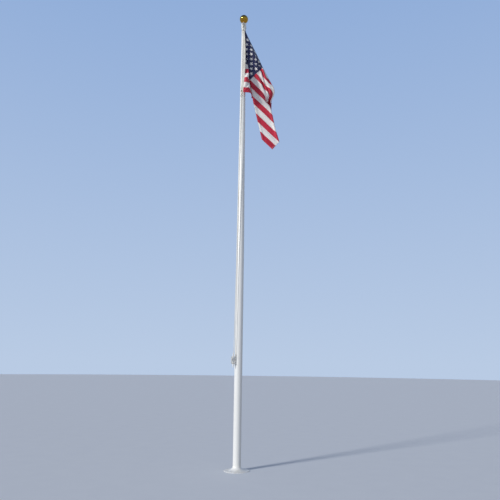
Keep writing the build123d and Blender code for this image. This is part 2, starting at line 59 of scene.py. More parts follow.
# Where the cloth is held: the heading's inner edge, bowed towards the fly
TOP_CORNER = np.array([0.011, -0.128, 7.470])
FOOT_CORNER = np.array([0.003, -0.121, 6.251])
HEADING_BOW = 0.030

# The front panel is flat: the directions of its fly and its hoist, and where its top corner would be. Within a reach
# of the real corner it leaves its plane.
PANEL_CORNER = np.array([-0.051, -0.127, 7.470])
PANEL_FLY_WAY = np.array([0.747, 0.177, -0.641])
PANEL_HOIST_WAY = np.array([-0.656, 0.040, -0.754])
CORNER_REACH = 0.16
# Its left fold and its right fold: distance from the top corner along the cloth, degrees below the top edge
LEFT_FOLD = [(0.5, 37.7), (0.93, 38.3), (1.19, 38.9), (1.35, 38.6), (1.52, 37.8), (1.87, 37.1), (2.02, 36.8)]
RIGHT_FOLD = [(0.0, 16), (0.5, 18.5), (0.67, 21.4), (0.92, 25.8), (1.22, 26.6), (1.37, 24.6), (1.58, 26.7),
              (1.87, 28.5), (2.3, 29.0)]
# Folds between the hoist and the left fold: degrees, lean right and back for each unit of drop, share of the length
# that is left by small folds, and whether the fold leans more with distance, up to the full lean at the one below
REAR_FOLDS = [(90, 0.0, 0.0, 1.0, False), (83.9, 0.100, 0.030, 0.97, True), (75.3, 0.145, 0.187, 0.955, True),
              (55.4, 0.405, 0.440, 0.985, False)]
FULL_LEAN_DISTANCE = 1.25
# Pleats from the right fold to the top edge, at these distances from the top corner along the cloth: the share of
# the angle that is left to the top edge, and how far right and back of the corner the pleat's line is, in metres
PLEAT_DISTANCES = [0.5, 0.74, 1.0, 1.25, 1.39, 1.75, 2.25]
PLEATS = [
    [(1, 0.190, 0.092), (0.87, 0.200, 0.112), (0.73, 0.211, 0.132), (0.59, 0.222, 0.152), (0.45, 0.232, 0.175),
     (0.08, 0.245, 0.222), (0, 0.240, 0.235)],
    [(1, 0.261, 0.133), (0.90, 0.272, 0.160), (0.82, 0.288, 0.145), (0.70, 0.302, 0.178), (0.61, 0.322, 0.162),
     (0.06, 0.354, 0.290), (0, 0.340, 0.305)],
    [(1, 0.321, 0.178), (0.91, 0.332, 0.217), (0.83, 0.353, 0.183), (0.74, 0.368, 0.224), (0.65, 0.396, 0.182),
     (0.42, 0.470, 0.255), (0, 0.335, 0.325)],
    [(1, 0.425, 0.222), (0.96, 0.437, 0.242), (0.92, 0.458, 0.222), (0.88, 0.475, 0.244), (0.82, 0.507, 0.224),
     (0.69, 0.592, 0.252), (0, 0.360, 0.345)],
    [(1, 0.490, 0.250), (0.84, 0.375, 0.262), (0.68, 0.500, 0.290), (0.52, 0.410, 0.310), (0.34, 0.510, 0.335),
     (0.17, 0.450, 0.360), (0, 0.470, 0.395)],
    [(1, 0.536, 0.306), (0.78, 0.380, 0.315), (0.58, 0.530, 0.345), (0.40, 0.410, 0.360), (0.22, 0.520, 0.395),
     (0.10, 0.450, 0.410), (0, 0.500, 0.430)],
    [(1, 0.658, 0.391), (0.80, 0.500, 0.400), (0.60, 0.640, 0.430), (0.42, 0.520, 0.450), (0.25, 0.620, 0.480),
     (0.12, 0.560, 0.490), (0, 0.600, 0.500)],
]
# Beyond this distance the pleats lie behind the panel, short of it they stand out beside it as a wing
NOTCH_DISTANCE = 1.33
# The panel's shallow waves, full from a distance on
RIPPLE_DEPTH, RIPPLE_WIDTH, RIPPLE_TWIST, RIPPLE_FULL = 0.005, 0.13, 3.0, 0.6

# Settling: steps, drop at each, and the share of the way back to the main folds that a step takes in the wing, the
# pleats and elsewhere, what the panel's middle adds to it, how wide the panel's margin is, and what is left late
SETTLING_STEPS, SETTLING_DROP = 260, 0.00012
HOLD_WING, HOLD_PLEATS, HOLD_LOOSE, HOLD_ADDED, PANEL_MARGIN = 0.07, 0.02, 0.004, 0.03, 0.03
LATE_STEPS_FROM, LATE_HOLD = 0.6, 0.4
# Ties: columns and rows apart, and stiffness. One over several cells only keeps its ends from coming closer than a
# share of their distance in the flat cloth.
TIES = ((1, 0, 1.0), (0, 1, 1.0), (1, 1, 0.5), (1, -1, 0.5), (2, 0, 0.3), (0, 2, 0.3), (4, 0, 0.15), (0, 4, 0.15))
SHORTEST = 0.985
# The map of how deep a layer reaches: its cells' size, how many each way, left of the corner and above it, and the
# depth that stands for none
CELL, MAP_CELLS, CELLS_LEFT, CELLS_ABOVE, NO_DEPTH = 0.014, 160, 4, 50, -1.0
# The room between layers, its growth with the way to a fold, the largest push, the pushes at the end, the distance
# from the corner where layers start, and the layers between the rear folds, of which the first two are none
LAYER_ROOM, ROOM_GROWTH, LARGEST_PUSH, LAST_PUSHES, LAYERS_FROM = 0.003, 0.3, 0.02, 6, 0.25
REAR_LAYERS = (-1, -1, 8, 7)

# The halyard and the cleat that it is made fast to, from the same measures as the solids
UP = np.array([0.0, 0.0, 1.0])
ROPE_RADIUS, ROPE_GAP, ROPE_SIDES = 0.004, 0.0003, 18
SHEAVE = np.array([-0.0074082, -0.0846766, 7.612])
SHEAVE_AZIMUTH, CLEAT_AZIMUTH = radians(-95), radians(-138)
SHEAVE_OUT = np.array([np.cos(SHEAVE_AZIMUTH), np.sin(SHEAVE_AZIMUTH), 0.0])
# The radius of the rope's bend over the sheave, and how far below its axle the straight legs start
SHEAVE_BEND, BIGHT_TAIL = 0.0283, 0.020
TUBE_RADIUS, CLEAT_HEIGHT = 0.0635, 1.660
CLEAT_OUT = np.array([np.cos(CLEAT_AZIMUTH), np.sin(CLEAT_AZIMUTH), 0.0])
CLEAT_SIDE = np.cross(CLEAT_OUT, UP)
CLEAT_SEAT = CLEAT_OUT * TUBE_RADIUS + UP * CLEAT_HEIGHT
# The horns' middle from the tube, and their radius; the height of the legs' end from the cleat's middle, the radius
# of their bend under its post, and their distance from the tube, inside the turns
HORN_OUT, HORN_RADIUS = 0.050, 0.0115
LEG_FOOT, LEG_TURN = -0.027, 0.018
LEG_OUT = HORN_OUT - HORN_RADIUS - 3 * ROPE_RADIUS - 2 * ROPE_GAP
# The turns: how many, the room beside a horn, the lift behind it, the share of the way along the cleat and the step
# back at which a turn comes round to the front, its slack in front of a horn, and half the length of a crossing
TURN_COUNT, TURN_SIDE_ROOM, TURN_LIFT, TURN_PULL, TURN_EASE, TURN_SLACK = 2, 0.003, 0.002, 0.8, 0.004, 0.0005
CROSSING = 0.008
# The canvas heading: width, half thickness, how far ahead of the rope and how far behind it its free edge hangs
HEADING_WIDTH, HEADING_HALF, HEADING_AHEAD, HEADING_INSET = 0.040, 0.0015, 0.0165, 0.018
# Steps of a smooth line from corner to corner, and a direction that no rope runs in
LINE_STEPS, ASKEW = 14, [0.3, 0.5, 0.8]
# Lock stitch: the thread's radius, and as the cloth's material draws it, a stitch's length and the rows' distance
# from a stripe's edge and from the fly's end
THREAD_RADIUS, STITCH, SEAM_ROW, FLY_ROW = 0.0004, 0.0035, 0.003, 0.030
# Rows of modelled stitches, in from the heading's folded edge and from the fly's end, and the points of a row
HEADING_ROWS, FLY_ROWS, ROW_POINTS = (0.004, HEADING_WIDTH - 0.011, HEADING_WIDTH - 0.004), (0.006, 0.014, 0.022), 600

# The lamp: strength, degrees across, above the horizon and to the left; and the strength of the world's fill
KEY_STRENGTH, KEY_ACROSS, KEY_UP, KEY_LEFT, FILL_STRENGTH = 2.5, 8, 20, 50, 0.60
# The camera: place, lens in millimetres, and the degrees that it looks up and right and is rolled
EYE, EYE_LENS, LOOK_UP, LOOK_RIGHT, ROLLED = (0.0, -8.76, 1.628), 38.74, 11.8, 1.06, 0.70


# ---- Small helpers for meshes ----

def mesh_object(name, points, faces):
    """Puts points and faces into a new smooth object that rides on the pole."""
    mesh = bpy.data.meshes.new(name)
    mesh.from_pydata(points.tolist(), [], faces.tolist())
    mesh.polygons.foreach_set("use_smooth", np.full(len(mesh.polygons), True))
    mesh.update()
    made = bpy.data.objects.new(name, mesh)
    bpy.context.scene.collection.objects.link(made)
    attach(made, "pole")
    return made


def grid_faces(rows, columns, around=False):
    """Quads of a rows x columns grid of points, row by row; around joins the last column to the first."""
    row = np.arange(rows - 1)[:, None]
    column = np.arange(columns if around else columns - 1)[None, :]
    following = (column + 1) % columns
    first = row * columns
    return np.stack([first + column, first + following, first + columns + following, first + columns + column],
                    axis=-1).reshape(-1, 4)


def repeated(faces, count, size):
    """Faces of count copies of a mesh that has size points."""
    return (faces[None] + (np.arange(count) * size)[:, None, None]).reshape(-1, 4)


def lay_uv(made, flat):
    """Gives each corner of a mesh the place of its point in the flat cloth, an n x 2 array in metres, as its UV."""
    flat = flat / UV_METRES
    layer = made.data.uv_layers.new(name="flat")
    corner = np.empty(len(made.data.loops), dtype=np.int32)
    made.data.loops.foreach_get("vertex_index", corner)
    layer.data.foreach_set("uv", flat[corner].astype(np.float32).ravel())


# ---- Small helpers for materials ----

def linear(code):
    """The linear colour of an sRGB hex code."""
    part = np.array([int(code[k:k + 2], 16) / 255 for k in (0, 2, 4)])
    value = np.where(part <= 0.04045, part / 12.92, ((part + 0.055) / 1.055) ** 2.4)
    return (*value.tolist(), 1.0)


def add(tree, kind, sockets=None, **settings):
    """Adds a node with its settings; each of its sockets gets a value, or a link from another node's output."""
    made = tree.nodes.new(kind)
    for name, value in settings.items():
        setattr(made, name, value)
    for name, value in (sockets or {}).items():
        if isinstance(value, bpy.types.NodeSocket):
            tree.links.new(value, made.inputs[name])
        else:
            made.inputs[name].default_value = value
    return made


def start(name, **sockets):
    """A new material: its tree, its shader with those socket values, and its Object coordinates."""
    made = bpy.data.materials.new(name)
    made.use_nodes = True
    tree = made.node_tree
    shader = tree.nodes["Principled BSDF"]
    for socket, value in sockets.items():
        shader.inputs[socket.replace("_", " ")].default_value = value
    place = add(tree, "ShaderNodeTexCoord")
    return made, tree, shader, place.outputs


def noise(tree, place, scale, detail=3.0, stretch=(1.0, 1.0, 1.0)):
    """A noise value, scale being features a metre, on coordinates multiplied by stretch."""
    mapped = add(tree, "ShaderNodeMapping", {"Vector": place, "Scale": stretch})
    return add(tree, "ShaderNodeTexNoise", {"Vector": mapped.outputs[0], "Scale": scale,
                                            "Detail": detail}).outputs[0]


def ramp(tree, value, low, high, start_at, end_at):
    """A value taken from the span low..high to start_at..end_at, and held at its ends."""
    return add(tree, "ShaderNodeMapRange", {"Value": value, "From Min": low, "From Max": high,
                                            "To Min": start_at, "To Max": end_at}).outputs[0]


def blend_colour(tree, share, first, second):
    """A mix of two colours; each is a hex code or an output."""
    colours = [linear(item) if isinstance(item, str) else item for item in (first, second)]
    return add(tree, "ShaderNodeMix", {0: share, 6: colours[0], 7: colours[1]}, data_type="RGBA").outputs[2]


def bump(tree, shader, height, depth, strength=1.0):
    """Raises the surface by height times depth, in metres."""
    made = add(tree, "ShaderNodeBump", {"Height": height, "Distance": depth, "Strength": strength})
    tree.links.new(made.outputs[0], shader.inputs["Normal"])


def maths(tree, operation, first, second=0.0, third=0.0):
    """One step of arithmetic on numbers or outputs."""
    return add(tree, "ShaderNodeMath", {0: first, 1: second, 2: third}, operation=operation).outputs[0]


# ---- Materials ----

def powder_coated_aluminium():
    """Drawn aluminium tube, powder coated white and baked: a low gloss skin with a fine orange peel, dusty in
    streaks."""
    made, tree, shader, place = start("powder_coated_aluminium", IOR=1.5)
    at = place["Object"]
    streak = noise(tree, at, 26.0, 4.0, (1.0, 1.0, 0.035))
    patch = noise(tree, at, 2.2, 3.0)
    dust = maths(tree, "MULTIPLY", ramp(tree, streak, 0.46, 0.72, 0.0, 0.55), ramp(tree, patch, 0.35, 0.7, 0.3, 1.0))
    colour = blend_colour(tree, dust, "EAEAE7", "DAD8D1")
    tree.links.new(colour, shader.inputs["Base Color"])
    tree.links.new(ramp(tree, dust, 0.0, 0.5, 0.30, 0.48), shader.inputs["Roughness"])
    peel = noise(tree, at, 420.0, 2.0)
    bump(tree, shader, peel, 0.00012, 0.6)
    return made


def enamelled_casting():
    """Sand cast aluminium under white baked enamel: gloss that rides over a 1 mm pebble, greyer in clouds where rain
    has dried, and worn through to grey specks."""
    made, tree, shader, place = start("enamelled_sand_casting", IOR=1.5)
    at = place["Object"]
    pebble = noise(tree, at, 900.0, 3.0)
    cloud = noise(tree, at, 45.0, 4.0)
    chip = ramp(tree, noise(tree, at, 210.0, 5.0), 0.66, 0.69, 0.0, 1.0)
    enamel = blend_colour(tree, ramp(tree, cloud, 0.42, 0.72, 0.0, 1.0), "F3F1EC", "E3E0D8")
    tree.links.new(blend_colour(tree, chip, enamel, "A2A09B"), shader.inputs["Base Color"])
    tree.links.new(ramp(tree, cloud, 0.3, 0.7, 0.28, 0.5), shader.inputs["Roughness"])
    bump(tree, shader, maths(tree, "SUBTRACT", pebble, maths(tree, "MULTIPLY", chip, 0.8)), 0.00022, 0.7)
    return made


def enamelled_disc():
    """Aluminium disc spun over a former and enamelled white: rings 2 mm apart show through the gloss, and soil that
    rain throws up dulls its rim."""
    made, tree, shader, place = start("enamelled_spun_disc", IOR=1.5)
    at = place["Object"]
    axes = add(tree, "ShaderNodeSeparateXYZ", {0: at}).outputs
    reach = maths(tree, "SQRT", maths(tree, "ADD", maths(tree, "MULTIPLY", axes[0], axes[0]),
                                      maths(tree, "MULTIPLY", axes[1], axes[1])))
    ring = noise(tree, add(tree, "ShaderNodeCombineXYZ", {0: reach, 1: axes[2]}).outputs[0], 500.0, 3.0)
    splash = noise(tree, at, 30.0, 5.0)
    low = ramp(tree, axes[2], 0.002, 0.040, 0.7, 0.0)
    soil = maths(tree, "MULTIPLY", ramp(tree, splash, 0.36, 0.66, 0.1, 1.0), low)
    tree.links.new(blend_colour(tree, soil, "F1F0EC", "C6C1B5"), shader.inputs["Base Color"])
    tree.links.new(ramp(tree, soil, 0.0, 0.8, 0.27, 0.7), shader.inputs["Roughness"])
    bump(tree, shader, ring, 0.00012, 0.6)
    return made


def gold_anodised_aluminium():
    """Spun aluminium, buffed and gold anodised: a mirror with faint spinning rings, duller where rain has dried."""
    made, tree, shader, place = start("gold_anodised_aluminium", Metallic=1.0)
    at = place["Object"]
    ring = noise(tree, at, 90.0, 3.0, (0.0, 0.0, 5.0))
    spot = noise(tree, at, 60.0, 4.0)
    dull = ramp(tree, spot, 0.52, 0.70, 0.0, 1.0)
    colour = blend_colour(tree, dull, "BD8D30", "94722C")
    tree.links.new(colour, shader.inputs["Base Color"])
    tree.links.new(ramp(tree, dull, 0.0, 1.0, 0.10, 0.22), shader.inputs["Roughness"])
    bump(tree, shader, ring, 0.00004, 0.5)
    return made


def turned_stainless():
    """Stainless bar, turned and polished: bright, with fine tool rings 0.5 mm apart and slight staining."""
    made, tree, shader, place = start("turned_stainless", Metallic=1.0)
    at = place["Object"]
    ring = noise(tree, at, 2000.0, 2.0, (1.0, 0.15, 0.15))
    stain = noise(tree, at, 150.0, 4.0)
    tree.links.new(blend_colour(tree, ramp(tree, stain, 0.45, 0.7, 0.0, 0.8), "C9C9C8", "A79F94"),
                   shader.inputs["Base Color"])
    tree.links.new(ramp(tree, stain, 0.3, 0.7, 0.2, 0.38), shader.inputs["Roughness"])
    bump(tree, shader, ring, 0.00005, 0.5)
    return made


def moulded_nylon():
    """Black nylon, injection moulded: an even matt skin, with patches that the rope has polished grey."""
    made, tree, shader, place = start("moulded_nylon", IOR=1.53)
    at = place["Object"]
    skin = noise(tree, at, 1600.0, 2.0)
    wear = noise(tree, at, 120.0, 4.0)
    tree.links.new(blend_colour(tree, ramp(tree, wear, 0.42, 0.7, 0.0, 1.0), "232324", "3A3A3A"),
                   shader.inputs["Base Color"])
    tree.links.new(ramp(tree, wear, 0.4, 0.7, 0.55, 0.36), shader.inputs["Roughness"])
    bump(tree, shader, skin, 0.00006, 0.6)
    return made


def braided_polyester():
    """Solid braided polyester line where it is knotted: lumps of strand 3 mm across with painted shade in the gaps
    between them, greyed by handling, with a soft matt sheen."""
    made, tree, shader, place = start("braided_polyester", IOR=1.5, Roughness=0.82, Sheen_Weight=0.25)
    at = place["Object"]
    strand = add(tree, "ShaderNodeTexVoronoi", {"Vector": at, "Scale": 330.0, "Randomness": 0.55},
                 feature="F1").outputs["Distance"]
    grime = noise(tree, at, 9.0, 4.0, (1.0, 1.0, 0.4))
    base = blend_colour(tree, ramp(tree, grime, 0.4, 0.7, 0.0, 1.0), "F0EEE6", "D9D4C6")
    # Painted shade: the colour darkens towards A9A494 in the gaps between the strands, where the bump is low.
    tree.links.new(blend_colour(tree, ramp(tree, strand, 0.25, 0.75, 0.0, 0.55), base, "A9A494"),
                   shader.inputs["Base Color"])
    bump(tree, shader, ramp(tree, strand, 0.0, 0.8, 1.0, 0.0), 0.0006, 0.8)
    return made


def braided_line():
    """Solid braided polyester line: eight strands each way that pass over and under each other every 3 mm, with painted
    shade in the gaps between them, a soft matt sheen, and grey where hands and the cleat have soiled it."""
    made, tree, shader, place = start("braided_line", IOR=1.5, Roughness=0.8, Sheen_Weight=0.25)
    axes = add(tree, "ShaderNodeSeparateXYZ", {0: place["UV"]}).outputs
    around = maths(tree, "MULTIPLY", axes[0], 8 * np.pi)
    onward = maths(tree, "MULTIPLY", axes[1], np.pi / 0.00314)
    one = maths(tree, "SINE", maths(tree, "ADD", around, onward))
    other = maths(tree, "SINE", maths(tree, "SUBTRACT", around, onward))
    over = maths(tree, "GREATER_THAN", maths(tree, "MULTIPLY", one, other), 0.0)
    one, other = maths(tree, "ABSOLUTE", one), maths(tree, "ABSOLUTE", other)
    first = maths(tree, "MULTIPLY", maths(tree, "POWER", one, 0.9), maths(tree, "POWER", other, 0.3))
    second = maths(tree, "MULTIPLY", maths(tree, "POWER", one, 0.3), maths(tree, "POWER", other, 0.9))
    height = maths(tree, "MULTIPLY_ADD", over, maths(tree, "SUBTRACT", first, second), second)
    grime = noise(tree, place["Object"], 9.0, 4.0, (1.0, 1.0, 0.4))
    base = blend_colour(tree, ramp(tree, grime, 0.4, 0.7, 0.0, 1.0), "F3F1EA", "E0DBCF")
    # Painted shade: the colour darkens towards A39E90 where the braid's height is low, in the gaps between strands.
    tree.links.new(blend_colour(tree, ramp(tree, height, 0.1, 0.5, 0.55, 0.0), base, "A39E90"),
                   shader.inputs["Base Color"])
    bump(tree, shader, height, 0.0005, 0.7)
    return made


def sewing_thread():
    """Bonded polyester thread: two plies twisted to a hard round line, white and a little glossy, dust in its turns."""
    made, tree, shader, place = start("bonded_thread", IOR=1.5, Roughness=0.5, Sheen_Weight=0.2)
    ply = noise(tree, place["Object"], 1500.0, 2.0)
    tree.links.new(blend_colour(tree, ramp(tree, ply, 0.4, 0.7, 0.0, 1.0), "EFEBE2", "C9C3B6"),
                   shader.inputs["Base Color"])
    bump(tree, shader, ply, 0.0001, 0.5)
    return made


def rolled_brass():
    """Rolled brass sheet, punched and set: yellow and bright, with browner patches of tarnish."""
    made, tree, shader, place = start("rolled_brass", Metallic=1.0)
    at = place["Object"]
    brown = noise(tree, at, 260.0, 4.0)
    tree.links.new(blend_colour(tree, ramp(tree, brown, 0.42, 0.7, 0.0, 1.0), "C9B07A", "8C7448"),
                   shader.inputs["Base Color"])
    tree.links.new(ramp(tree, brown, 0.35, 0.7, 0.22, 0.46), shader.inputs["Roughness"])
    bump(tree, shader, noise(tree, at, 2400.0, 2.0), 0.00004, 0.4)
    return made


def cast_bronze():
    """Bronze, die cast and tumbled: a warm brown metal, rubbed bright in patches, with a fine pebble."""
    made, tree, shader, place = start("cast_bronze", Metallic=1.0)
    at = place["Object"]
    rubbed = noise(tree, at, 190.0, 4.0)
    tree.links.new(blend_colour(tree, ramp(tree, rubbed, 0.4, 0.68, 0.0, 1.0), "7C6A4C", "B3A07C"),
                   shader.inputs["Base Color"])
    tree.links.new(ramp(tree, rubbed, 0.35, 0.7, 0.5, 0.3), shader.inputs["Roughness"])
    bump(tree, shader, noise(tree, at, 1500.0, 3.0), 0.00010, 0.6)
    return made


def duck_canvas():
    """White cotton duck, folded and sewn as the heading: a plain weave of 0.7 mm threads with painted shade between
    them, soiled in patches.
    """
    made, tree, shader, place = start("duck_canvas", IOR=1.5, Roughness=0.9, Sheen_Weight=0.15)
    at = place["Object"]
    warp = add(tree, "ShaderNodeTexWave", {"Vector": at, "Scale": 230.0}, bands_direction="X").outputs["Fac"]
    weft = add(tree, "ShaderNodeTexWave", {"Vector": at, "Scale": 230.0}, bands_direction="Z").outputs["Fac"]
    weave = maths(tree, "MULTIPLY", warp, weft)
    soil = noise(tree, at, 14.0, 4.0)
    base = blend_colour(tree, ramp(tree, soil, 0.4, 0.7, 0.0, 1.0), "F0EDE4", "DAD4C6")
    # Painted shade: the colour darkens towards B5AF9F where the weave is low, between the threads.
    tree.links.new(blend_colour(tree, ramp(tree, weave, 0.0, 0.6, 0.3, 0.0), base, "B5AF9F"),
                   shader.inputs["Base Color"])
    bump(tree, shader, weave, 0.0002, 0.7)
    return made


def dyed_nylon(name, colour, deep, seams=False):
    """Woven nylon, dyed in the piece: threads 1 mm apart in both directions, drawn that coarse to show, with a silky
    sheen and small creases left by packing, and painted shade in patches that darken the dye towards its deep
    colour. With seams, the stripes are lapped 10 mm and held by two rows of lock stitch 3.5 mm long, the edges above
    and below show half of that, and the fly's hem is a band of 45 mm with a row 30 mm in."""
    made, tree, shader, place = start(name, IOR=1.53, Roughness=0.62, Sheen_Weight=0.2, Sheen_Roughness=0.4)
    flat = place["UV"]
    axes = add(tree, "ShaderNodeSeparateXYZ", {0: flat}).outputs
    threads = 2 * np.pi * UV_METRES / 0.001
    warp = maths(tree, "SINE", maths(tree, "MULTIPLY", axes[0], threads))
    weft = maths(tree, "SINE", maths(tree, "MULTIPLY", axes[1], threads))
    weave = maths(tree, "MULTIPLY", warp, weft)
    crease = noise(tree, flat, 18.0, 4.0)
    wide = noise(tree, flat, 5.0, 2.0)
    # Painted shade: the crease and broad noises darken the dye towards its deep colour in patches.
    shade = maths(tree, "ADD", ramp(tree, crease, 0.35, 0.7, 0.0, 0.5), ramp(tree, wide, 0.35, 0.7, 0.0, 0.5))
    dyed = blend_colour(tree, shade, colour, deep)
    height = maths(tree, "MULTIPLY_ADD", weave, 0.08, crease)
    if seams:
        stripe_seams = (axes[1], axes[0], STRIPE, SEAM_ROW)
        fly_hem = (axes[0], axes[1], FLY, FLY_ROW)
        for across, along, pitch, row in (stripe_seams, fly_hem):
            share = maths(tree, "DIVIDE", across, pitch / UV_METRES)
            near = maths(tree, "MULTIPLY", maths(tree, "PINGPONG", share, 0.5), pitch)
            lap = ramp(tree, near, 1.4 * row, 1.7 * row, 1.0, 0.0)
            beside = maths(tree, "ABSOLUTE", maths(tree, "SUBTRACT", near, row))
            line = ramp(tree, beside, THREAD_RADIUS, 0.0009, 1.0, 0.0)
            dash = maths(tree, "SINE", maths(tree, "MULTIPLY", along, 2 * np.pi * UV_METRES / STITCH))
            stitch = maths(tree, "MULTIPLY", line, ramp(tree, dash, -0.3, 0.1, 0.0, 1.0))
            height = maths(tree, "MULTIPLY_ADD", lap, 0.14, height)
            height = maths(tree, "MULTIPLY_ADD", line, -0.10, height)
            height = maths(tree, "MULTIPLY_ADD", stitch, 0.16, height)
            dyed = blend_colour(tree, maths(tree, "MULTIPLY", stitch, 0.45), dyed, "F0EBE4")
    tree.links.new(dyed, shader.inputs["Base Color"])
    bump(tree, shader, height, 0.004, 0.6)
    return made


CAST = enamelled_casting()
BRONZE = cast_bronze()
ROPE = braided_polyester()
STEEL = turned_stainless()
GOLD = gold_anodised_aluminium()
BRASS = rolled_brass()
FINISHES = {
    "pole_shaft": powder_coated_aluminium(),
    "truck_body": CAST, "cleat_body": CAST,
    "flash_collar": enamelled_disc(),
    "ball_lower_half": GOLD, "ball_upper_half": GOLD,
    "ball_spindle": STEEL, "sheave_axle": STEEL, "sheave_cotter": STEEL, "truck_set_screws": STEEL,
    "cleat_screws": STEEL,
    "sheave": moulded_nylon(),
    "upper_knot": ROPE, "lower_knot": ROPE,
    "upper_grommet": BRASS, "lower_grommet": BRASS,
    "upper_snap_hook": BRONZE, "lower_snap_hook": BRONZE, "upper_snap_gate": BRONZE, "lower_snap_gate": BRONZE,
    "flag_heading": duck_canvas(),
}
for node_name, finish in FINISHES.items():
    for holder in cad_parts[node_name].material_slots:
        holder.material = finish


# ---- The halyard ----

def unit(way):
    """A direction of length one."""
    return way / np.linalg.norm(way, axis=-1, keepdims=True)


def on_cleat(along, side, out):
    """A point from the cleat's own measures: up the pole, sideways and out from the tube."""
    return CLEAT_SEAT + UP * along + CLEAT_SIDE * side + CLEAT_OUT * out


def leg_top(side):
    """Where a leg of the halyard leaves the sheave: side is 1 for the flag's leg and -1 for the other."""
    return SHEAVE + SHEAVE_OUT * side * SHEAVE_BEND - UP * BIGHT_TAIL


def halyard_corners():
    """The halyard as a closed round of corners: up the flag's leg, over the sheave, down the other leg and back under
    the cleat's post. The corners at both bends are those of an octagon, whose sides the rope touches."""
    ease = np.tan(np.pi / 8)
    bend = [(1, -ease), (1, ease), (ease, 1), (-ease, 1), (-1, ease), (-1, -ease)]
    over = [SHEAVE + SHEAVE_BEND * (SHEAVE_OUT * out + UP * rise) for out, rise in bend]
    under = [on_cleat(LEG_FOOT - LEG_TURN * rise, LEG_TURN * side, LEG_OUT) for side, rise in bend]
    return [leg_top(1)] + over + [leg_top(-1)] + under


def turn_corners():
    """The turns on the cleat, each further out than the one below: behind both horns, and twice across the front,
    where a crossing has a corner on each side of it."""
    strand = 2 * ROPE_RADIUS + ROPE_GAP
    corners = []
    for layer in range(TURN_COUNT):
        along = LEG_TURN - LEG_FOOT + (layer + 1) * strand
        side = HORN_RADIUS + ROPE_RADIUS + TURN_SIDE_ROOM
        behind = HORN_OUT - HORN_RADIUS - ROPE_RADIUS - ROPE_GAP
        front = HORN_OUT + HORN_RADIUS + ROPE_RADIUS + TURN_SLACK + 2 * layer * strand
        for way, height in ((1, front), (-1, front + strand)):
            corners += [(way * along, 0, behind), (way * along, side, behind + TURN_LIFT),
                        (way * along * TURN_PULL, side, front - TURN_EASE), (way * CROSSING, side / 5, height),
                        (-way * CROSSING, -side / 5, height), (-way * along * TURN_PULL, -side, front - TURN_EASE),
                        (-way * along, -side, behind + TURN_LIFT)]
    return [on_cleat(*corner) for corner in corners]


def smooth_line(corners, closed):
    """Points along the smooth line of a NURBS spline that has the corners as its control points."""
    curve = bpy.data.curves.new("route", "CURVE")
    curve.dimensions = "3D"
    spline = curve.splines.new("NURBS")
    spline.points.add(len(corners) - 1)
    spline.points.foreach_set("co", np.column_stack([corners, np.ones(len(corners))]).ravel())
    spline.order_u = 3
    spline.use_endpoint_u = not closed
    spline.use_cyclic_u = closed
    spline.resolution_u = LINE_STEPS
    holder = bpy.data.objects.new("route", curve)
    mesh = bpy.data.meshes.new_from_object(holder)
    points = np.empty(3 * len(mesh.vertices))
    mesh.vertices.foreach_get("co", points)
    bpy.data.objects.remove(holder)
    bpy.data.curves.remove(curve)
    bpy.data.meshes.remove(mesh)
    points = points.reshape(-1, 3)
    return np.concatenate([points, points[:1]]) if closed else points


def rope_tube(name, line, closed):
    """A rope along a line: rings of points that turn as little as they can from one to the next. A loose end is
    melted to a dome. Its UV is the share of the way round the rope and the metres along it."""
    run = np.diff(line, axis=0)
    step = unit(run)
    joined = step[-1:] if closed else step[:1]
    way = unit(np.concatenate([joined, step]) + np.concatenate([step, step[:1] if closed else step[-1:]]))
    side = np.cross(way, ASKEW)
    for place in range(1, len(line)):
        side[place] = side[place - 1] - way[place] * (side[place - 1] @ way[place])
        side[place] = unit(side[place])
    side[0] = unit(side[0])
    length = np.concatenate([[0.0], np.cumsum(np.linalg.norm(run, axis=1))])
    radius = np.full(len(line), ROPE_RADIUS)
    if not closed:
        inward = np.clip(np.minimum(length, length[-1] - length) / ROPE_RADIUS, 0.001, 1)
        radius = ROPE_RADIUS * np.sqrt(1 - (1 - inward) ** 2)
    turn = np.linspace(0, 2 * np.pi, ROPE_SIDES, endpoint=False)[None, :, None]
    points = line[:, None] + radius[:, None, None] * (np.cos(turn) * side[:, None]
                                                      + np.sin(turn) * np.cross(way, side)[:, None])
    made = mesh_object(name, points.reshape(-1, 3), grid_faces(len(line), ROPE_SIDES, around=True))
    row, column = np.meshgrid(np.arange(len(line) - 1), np.arange(ROPE_SIDES), indexing="ij")
    corner_u = (column[..., None] + np.array([0, 1, 1, 0])) / ROPE_SIDES
    corner_v = length[row[..., None] + np.array([0, 0, 1, 1])]
    layer = made.data.uv_layers.new(name="rope")
    layer.data.foreach_set("uv", np.stack([corner_u, corner_v], -1).astype(np.float32).ravel())
    made.data.materials.append(BRAID)
    return made


BRAID = braided_line()
halyard = rope_tube("halyard_line", smooth_line(halyard_corners(), True), True)
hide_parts("halyard_bight", "halyard_flag_leg", "halyard_return_leg", "halyard_turnback")
turns = rope_tube("halyard_cleat_turns", smooth_line(turn_corners(), False), False)
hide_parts("cleat_turns")


# ---- The flag ----

PANEL_FLY_WAY = unit(PANEL_FLY_WAY)
PANEL_HOIST_WAY = unit(PANEL_HOIST_WAY - PANEL_FLY_WAY * (PANEL_FLY_WAY @ PANEL_HOIST_WAY))
PANEL_BACK = -np.cross(PANEL_FLY_WAY, PANEL_HOIST_WAY)
PANEL_BACK *= np.sign(PANEL_BACK[1])


def read_off(table, at):
    """The second column of a table, read between its rows by the first column."""
    rows = np.array(table, dtype=float)
    return np.interp(at, rows[:, 0], rows[:, 1])


